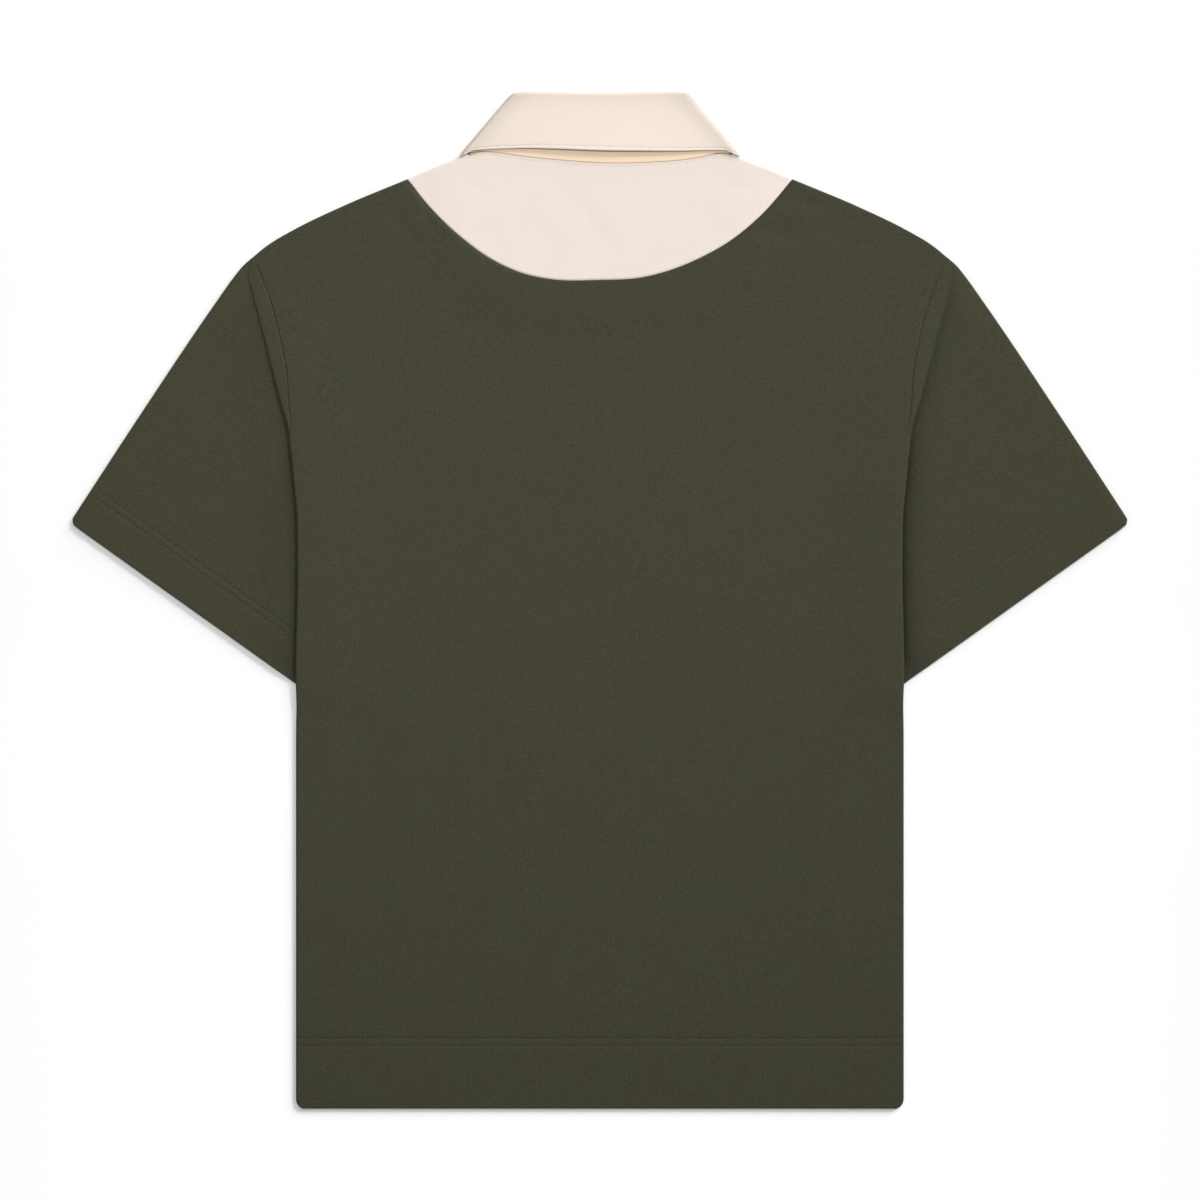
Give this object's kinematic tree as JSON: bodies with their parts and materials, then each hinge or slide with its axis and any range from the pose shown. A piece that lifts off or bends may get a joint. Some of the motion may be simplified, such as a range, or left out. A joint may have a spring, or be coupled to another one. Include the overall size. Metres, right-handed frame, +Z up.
{
  "type": "rugby shirt",
  "caption": "Short-sleeved rugby shirt laid flat, back side up: dark olive body and sleeves, curved cream back yoke, cream stand and turned-down collar, square hem.",
  "frame": {"origin": "centre of the bounding box on the surface the shirt lies on", "axes": "+Z up out of the surface, through the front and then the back; +Y from hem to collar; +X towards the cuff on the right as the picture shows it, which is the right sleeve because the back is up"},
  "size_m": [0.7924, 0.7621, 0.0116],
  "materials": {
    "green_jersey": "matt cotton jersey",
    "cream_jersey": "matt cotton jersey",
    "cream_twill": "matt cotton twill"
  },
  "bodies": {
    "root": {"front_panel": "green_jersey", "back_panel": "green_jersey", "sleeve_left": "green_jersey", "sleeve_right": "green_jersey", "back_yoke": "cream_jersey", "front_yoke_left": "cream_jersey", "front_yoke_right": "cream_jersey", "collar_stand": "cream_twill", "collar_fall": "cream_twill", "placket_upper": "cream_twill", "placket_under": "cream_twill"}
  },
  "joints": []
}
